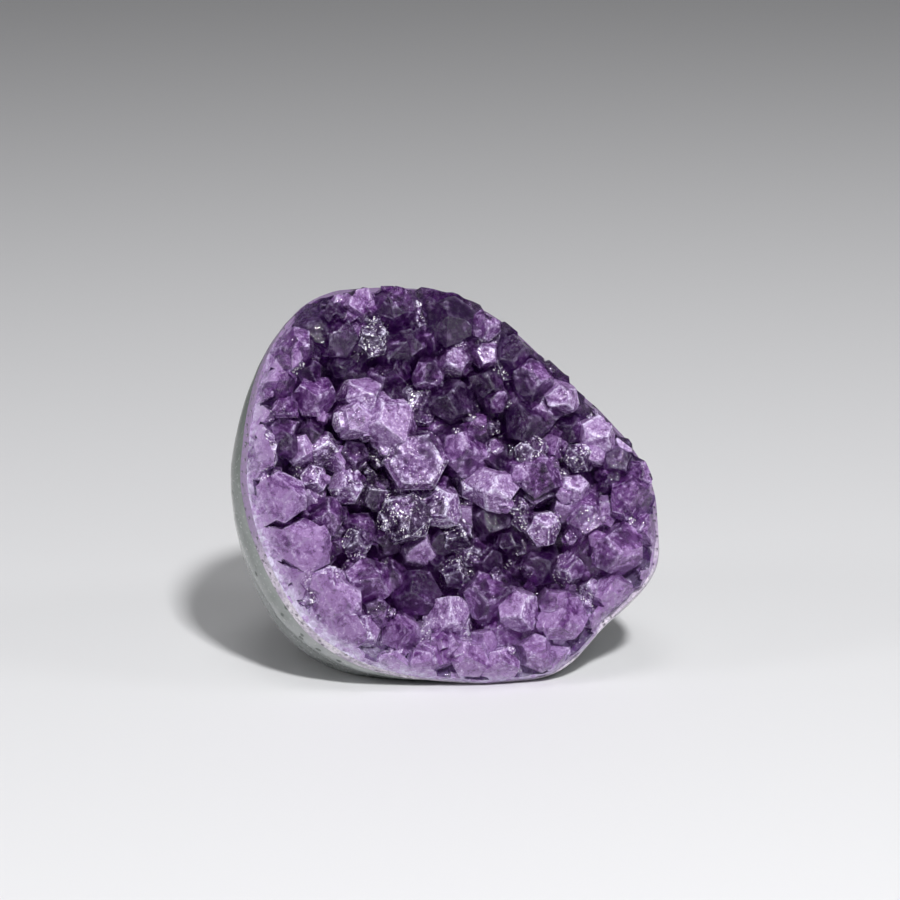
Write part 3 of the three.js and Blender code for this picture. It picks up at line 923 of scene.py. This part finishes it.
@dataclass
class CrystalCrust:
    """The purple quartz points, grown into one another and ground flush at the rim."""

    form: StoneForm
    seed: int = 35
    large_turn: float = 17.0  # degrees from one large point to the next
    large_lean: float = 0.3
    major_face: tuple[float, float] = (-0.3, 0.05)
    minor_face: tuple[float, float] = (0.0, 0.42)
    spacing: float = 7.0
    small_radius: tuple[float, float] = (3.4, 4.8)
    small_sink: tuple[float, float] = (0.6, 3.0)
    jitter: float = 0.32
    small_lean: float = 0.55
    lean_inwards: float = 0.25
    room_beside_large: float = 0.72
    face_reach: float = 0.97
    flat_place: tuple[float, float, float, float] = (-6.6, 5.4, 7.0, 4.4)  # x, y, radius and rise
    flat_unevenness: float = 0.12
    under_spacing: float = 4.3
    floor_thickness: float = 2.2
    chipping: float = 1.8

    def new_point(self, chance: ChanceStream, unevenness: float = 1.0, **sizes: float) -> QuartzPoint:
        """Make one point with the uneven tip that the random numbers give it.

        Args:
            chance: the random numbers.
            unevenness: how far its tip departs from an even one, from 0 to 1.
            sizes: the point's other values.

        Returns:
            The point.
        """
        flatness = 1 + unevenness * (0.22 * chance.next() - 0.14)
        faces = [self.major_face, self.minor_face] * 3
        sets = [unevenness * chance.between(*face) for face in faces]
        return QuartzPoint(flatness=flatness, tip_sets=sets, **sizes)

    def toward_pale_side(self, x: float, y: float) -> float:
        """Give how far, from 0 to 1, a place lies towards the lower left, where ground points are palest."""
        return held(0.5 + 0.65 * math.cos(math.atan2(y, x) - math.radians(245)))

    def paleness(self, x: float, y: float) -> float:
        """Give what a place adds to a point's tint: pale low at the rim, deep in the trough and up high.

        Args:
            x: its place across the face.
            y: its place up the face.

        Returns:
            The addition, which may be below 0.
        """
        at_rim = held((self.form.face_share(x, y) - 0.6) / 0.3)
        trough = math.exp(-(((y + 16) / 5) ** 2) - ((x - 6) / 16) ** 2)
        pale = 0.45 * at_rim * self.toward_pale_side(x, y) + 0.62 * held((-y - 23) / 10)
        return pale - 0.3 * trough - 0.2 * held((y - 12) / 16)

    def large_points(self, chance: ChanceStream) -> Iterator[QuartzPoint]:
        """Lay out the points that stand out.

        Args:
            chance: random numbers for their leans and tips.

        Yields:
            Each point.
        """
        for i, (x, y, radius, lean_x, lean_y, rise, bluntness, look) in enumerate(LARGE_POINTS):
            lean_x, lean_y = (lean + self.large_lean * chance.spread() for lean in (lean_x, lean_y))
            level = self.form.druse_level(x, y) + rise
            turn = math.radians(i * self.large_turn)
            yield self.new_point(
                chance, x=x, y=y, level=level, radius=radius, lean_x=lean_x, lean_y=lean_y, turn=turn,
                bluntness=bluntness, tint=look.tint, frost=look.frost,
            )

    def flat_point(self, chance: ChanceStream) -> QuartzPoint:
        """Make the largest point, which faces the viewer and ends in a flat.

        Args:
            chance: random numbers for its tip.

        Returns:
            The point.
        """
        x, y, radius, rise = self.flat_place
        level = self.form.druse_level(x, y) + rise
        return self.new_point(
            chance, x=x, y=y, level=level, radius=radius, lean_x=0.02, lean_y=0.06, turn=math.radians(30),
            bluntness=1.0, flat_top=1.6, unevenness=self.flat_unevenness, tint=0.5, frost=0.42,
        )

    def small_points(self, chance: ChanceStream, looks: ChanceStream) -> Iterator[QuartzPoint]:
        """Lay out the points that close the gaps, on a jittered grid.

        Args:
            chance: random numbers for their places and shapes.
            looks: random numbers for their looks.

        Yields:
            Each point.
        """
        rows = math.ceil(45 / (self.spacing * 0.866))
        columns = math.ceil(48 / self.spacing)
        for row, column in product(range(-rows, rows + 1), range(-columns, columns + 1)):
            x = (column + 0.5 * (row % 2) + self.jitter * chance.spread()) * self.spacing
            y = (row * 0.866 + self.jitter * chance.spread()) * self.spacing
            radius = chance.between(*self.small_radius)
            lean_x = self.small_lean * chance.spread() - self.lean_inwards * x / 45
            lean_y = self.small_lean * chance.spread() - self.lean_inwards * y / 45
            level = self.form.druse_level(x, y) - chance.between(*self.small_sink)
            turn = chance.next() * math.pi
            hidden = any(
                math.hypot(x - large[0], y - large[1]) < large[2] * self.room_beside_large
                for large in [*LARGE_POINTS, self.flat_place]
            )
            if hidden or self.form.face_share(x, y) > self.face_reach:
                continue
            look = list(Look)[int(looks.next() * 4.999)]
            yield self.new_point(
                chance, x=x, y=y, level=level, radius=radius, lean_x=lean_x, lean_y=lean_y, turn=turn,
                bluntness=0.95, tint=look.tint, frost=look.frost,
            )

    def under_points(self, looks: ChanceStream) -> Iterator[QuartzPoint]:
        """Lay out the little points that fill the crevices between the others.

        Args:
            looks: random numbers.

        Yields:
            Each point.
        """
        reach = math.ceil(48 / self.under_spacing)
        for row, column in product(range(-reach, reach + 1), repeat=2):
            x = (column + 0.5 * (row % 2) + 0.4 * looks.spread()) * self.under_spacing
            y = (row + 0.4 * looks.spread()) * self.under_spacing * 0.9
            if self.form.face_share(x, y) > self.face_reach:
                continue
            yield self.new_point(
                looks, x=x, y=y, level=self.form.druse_level(x, y) - looks.between(1.6, 4.6),
                radius=looks.between(1.5, 2.7), lean_x=0.7 * looks.spread(), lean_y=0.7 * looks.spread(),
                turn=looks.next() * math.pi, bluntness=looks.between(0.8, 1.2), tint=looks.between(0.0, 0.45),
                frost=looks.next(), length=14.0, border=0.0,
            )

    def twin_points(self, parents: list[QuartzPoint], looks: ChanceStream) -> Iterator[QuartzPoint]:
        """Grow points beside and parallel to each parent, as quartz does, so that few tips stand alone.

        Args:
            parents: the points beside which they grow.
            looks: random numbers.

        Yields:
            Each point.
        """
        for parent in parents:
            for _ in range(int(3.4 * looks.next())):
                angle = looks.next() * 2 * math.pi
                out = parent.radius * looks.between(0.35, 0.8)
                yield self.new_point(
                    looks, x=parent.x + out * math.cos(angle), y=parent.y + out * math.sin(angle),
                    level=parent.level - looks.between(-0.6, 1.8),
                    radius=parent.radius * looks.between(0.35, 0.75),
                    lean_x=parent.lean_x + 0.04 * looks.spread(),
                    lean_y=parent.lean_y + 0.04 * looks.spread(),
                    turn=parent.turn, bluntness=parent.bluntness,
                    tint=held(parent.tint + 0.2 * looks.spread()),
                    frost=held(parent.frost + 0.4 * looks.spread()), length=16.0,
                )

    def side_points(self, parents: list[QuartzPoint], looks: ChanceStream) -> Iterator[QuartzPoint]:
        """Grow a little point or two on the flanks of each parent, leaning outwards.

        Args:
            parents: the points on which they grow.
            looks: random numbers.

        Yields:
            Each point.
        """
        for parent in parents:
            for _ in range(int(2.6 * looks.next())):
                angle = looks.next() * 2 * math.pi
                out = parent.radius * looks.between(0.75, 1.0)
                lean = looks.between(0.1, 0.6)
                yield self.new_point(
                    looks, x=parent.x + out * math.cos(angle), y=parent.y + out * math.sin(angle),
                    level=parent.level - looks.between(-0.2, 1.6),
                    radius=parent.radius * looks.between(0.2, 0.38),
                    lean_x=parent.lean_x + lean * math.cos(angle),
                    lean_y=parent.lean_y + lean * math.sin(angle),
                    turn=looks.next() * math.pi, bluntness=looks.between(0.7, 1.1),
                    tint=held(parent.tint * looks.between(0.7, 1.4)), frost=looks.next(),
                    length=12.0, border=0.0,
                )

    def measure_depths(self, crust: bpy.types.Object) -> None:
        """Keep four values for each corner, from 0 to 1.

        root says how near a place at the rim is to the dish, where the points are pale. depth says how deep
        a place lies in a crevice, where little light reaches it; the finish paints shade there by it.
        edge marks the borders of the points' faces.
        pale_side says how far it lies towards the lower left, where the ground points are palest.

        Args:
            crust: the trimmed crust, still in the face frame.
        """
        mesh = crust.data
        roots, crevice_shades, pale_sides = [], [], []
        for vert in mesh.vertices:
            x, y, z = vert.co
            share = self.form.face_share(x, y)
            at_rim = held((share - 0.72) / 0.16)
            above_dish = z - self.form.dish_level(share, math.atan2(y, x))
            near_dish = held(1.0 - above_dish / 6.0)
            pale_sides.append(self.toward_pale_side(x, y))
            roots.append(at_rim * near_dish * (0.1 + 0.9 * self.toward_pale_side(x, y)))
            # How deep a place lies below the tips, for the painted shade in the crevices.
            under_tips = self.form.druse_level(x, y) + 1.0 - z
            crevice_shades.append((1 - 0.8 * at_rim) * held(under_tips / 5.0))
        numbers, borders = ([mark.value for mark in mesh.attributes[n].data] for n in ("number", "border"))
        owners, edges = [None] * len(roots), [1.0] * len(roots)
        for polygon in mesh.polygons:
            for vert in polygon.vertices:
                owners[vert] = numbers[polygon.index] if owners[vert] is None else owners[vert]
                if owners[vert] != numbers[polygon.index] or borders[polygon.index] < 0.5:
                    edges[vert] = 0.0
        for name, values in (("root", roots), ("depth", crevice_shades), ("pale_side", pale_sides), ("edge", edges)):
            mesh.attributes.new(name, "FLOAT", "POINT").data.foreach_set("value", values)

    def build(self) -> bpy.types.Object:
        """Build, join, trim, dress and place the crust.

        Returns:
            The finished piece.
        """
        chance, looks = ChanceStream(self.seed), ChanceStream(7)
        large = list(self.large_points(chance))
        flat = self.flat_point(chance)
        small = list(self.small_points(chance, looks))
        points = [flat, *large, *small]
        points += self.twin_points(large + small, looks)
        points += self.side_points([flat, *large, *small], looks)
        points += self.under_points(looks)
        log.info("crystal crust: %d points", len(points))
        for number, point in enumerate(points):
            point.number = number + 1
            point.tint = held(point.tint + self.paleness(point.x, point.y))
        edge_chance = ChanceStream(11)
        solids = [p.build(edge_chance, 0.02 * p.radius + 0.04) for p in points]
        crust = self.form.space_over_dish("amethyst_crust", 0.0, 0.0)
        above = self.form.space_over_dish("above", self.floor_thickness, self.floor_thickness)
        combine(crust, [above], "DIFFERENCE")
        combine(crust, solids, "UNION")
        combine(crust, [self.form.space_over_dish("over", 0.0, 0.0)], "INTERSECT")
        combine(crust, [self.form.ground_body("trim", self.chipping)], "INTERSECT")
        keep_largest_part(crust)
        self.measure_depths(crust)
        dress(crust, AmethystFinish().material())
        place_in_stone(crust)
        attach(crust, "root")
        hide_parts("crystal_crust")
        return crust


def keep_largest_part(piece: bpy.types.Object) -> None:
    """Drop loose crumbs and closed-in pockets, so that one outer skin is left.

    Args:
        piece: the joined object.
    """
    bm = bmesh.new()
    bm.from_mesh(piece.data)
    unseen = set(bm.verts)
    parts = []
    while unseen:
        stack, part = [unseen.pop()], []
        while stack:
            vert = stack.pop()
            part.append(vert)
            for edge in vert.link_edges:
                other = edge.other_vert(vert)
                if other in unseen:
                    unseen.remove(other)
                    stack.append(other)
        parts.append(part)
    parts.sort(key=len)
    for part in parts[:-1]:
        bmesh.ops.delete(bm, geom=part, context="VERTS")
    bm.to_mesh(piece.data)
    bm.free()
    log.info("%s: kept the largest of %d parts", piece.name, len(parts))


def dress(piece: bpy.types.Object, material: bpy.types.Material, smooth_under: float = 25.0) -> None:
    """Shade the piece smooth across its blunt edges and give it its one finish.

    Args:
        piece: the finished mesh's object.
        material: its finish.
        smooth_under: the angle in degrees between two faces, above which their edge stays sharp.
    """
    for polygon in piece.data.polygons:
        polygon.use_smooth = True
        polygon.material_index = 0
    piece.data.set_sharp_from_angle(angle=math.radians(smooth_under))
    piece.data.materials.clear()
    piece.data.materials.append(material)


@dataclass
class Studio:
    """The pale floor, the soft lights and the camera."""

    elevation: float = 15.0
    azimuth: float = -6.0
    distance: float = 0.67
    lens: float = 127.5

    def toward(self, azimuth: float, elevation: float) -> Vector:
        """Give the direction of a light or the camera as seen from the stone.

        Args:
            azimuth: degrees round from the front, to the right.
            elevation: degrees above the floor.

        Returns:
            The unit direction.
        """
        turn, rise = math.radians(azimuth), math.radians(elevation)
        return Vector((math.sin(turn) * math.cos(rise), -math.cos(turn) * math.cos(rise), math.sin(rise)))

    def add_camera(self) -> None:
        """Add the camera at the photograph's viewing angle."""
        data = bpy.data.cameras.new("camera")
        data.lens, data.sensor_width = self.lens, 36.0
        data.clip_start, data.clip_end = 0.01, 20
        camera = bpy.data.objects.new("camera", data)
        back = self.toward(self.azimuth, self.elevation)
        turn = back.to_track_quat("Z", "Y").to_matrix().to_4x4()
        aim = Vector((0.0006, -0.014, 0.0425)) + turn.to_3x3() @ Vector((0.0002, 0.0053, 0))
        camera.matrix_world = Matrix.Translation(aim + back * self.distance) @ turn
        bpy.context.scene.collection.objects.link(camera)
        bpy.context.scene.camera = camera

    def add_light(
        self, name: str, azimuth: float, elevation: float, away: float, size: float, watts: float
    ) -> None:
        """Add one square soft light that looks at the stone.

        Args:
            name: its name.
            azimuth: degrees round from the front, to the right.
            elevation: degrees above the floor.
            away: metres from the stone.
            size: metres across.
            watts: its power.
        """
        data = bpy.data.lights.new(name, "AREA")
        data.shape, data.size, data.energy = "SQUARE", size, watts
        light = bpy.data.objects.new(name, data)
        direction = self.toward(azimuth, elevation)
        turn = direction.to_track_quat("Z", "Y").to_matrix().to_4x4()
        light.matrix_world = Matrix.Translation(Vector((0, 0, 0.04)) + direction * away) @ turn
        bpy.context.scene.collection.objects.link(light)

    def add_floor(self) -> None:
        """Add the floor of matt white board, which gives the eye an even pale ground."""
        bm = bmesh.new()
        bmesh.ops.create_grid(bm, x_segments=1, y_segments=1, size=4.0)
        floor = object_from(bm, "floor")
        material, tree = new_material("matt_white_board")
        inputs = {"Base Color": linear("#dcdcde"), "Roughness": 0.6}
        surface = add_node(tree, "ShaderNodeBsdfPrincipled", inputs=inputs)
        add_node(tree, "ShaderNodeOutputMaterial", surface)
        floor.data.materials.append(material)

    def add_world(self) -> None:
        """Add an even pale surround."""
        world = bpy.data.worlds.new("studio")
        world.use_nodes = True
        tree = world.node_tree
        tree.nodes.clear()
        direction = add_node(tree, "ShaderNodeTexCoord", output="Generated")
        behind = add_node(tree, "ShaderNodeSeparateXYZ", direction, output="Y")
        strength = add_node(tree, "ShaderNodeMapRange", behind, 0.1, 0.7, 0.15, 0.28)
        glow = add_node(tree, "ShaderNodeBackground", linear("#d2d2d4"), strength)
        add_node(tree, "ShaderNodeOutputWorld", glow)
        bpy.context.scene.world = world

    def build(self) -> None:
        """Set up the whole studio."""
        self.add_floor()
        self.add_world()
        self.add_camera()
        self.add_light("key", 11, 47, 1.3, 0.12, 17.5)
        self.add_light("overhead", -20, 78, 1.1, 0.4, 2.2)
        self.add_light("left_panel", -75, 28, 0.9, 0.25, 1.1)
        self.add_light("right_panel", 70, 40, 1.0, 0.25, 1.0)
        bpy.context.scene.view_settings.view_transform = "Standard"


def main() -> None:
    """Build the stone's pieces in order, then the studio."""
    form = StoneForm()
    for part in (RockShell(form), QuartzBand(form), CrystalCrust(form)):
        piece = part.build()
        triangles = sum(len(p.vertices) - 2 for p in piece.data.polygons)
        log.info("%s: %d triangles", piece.name, triangles)
    Studio().build()


if __name__ == "__main__":
    main()
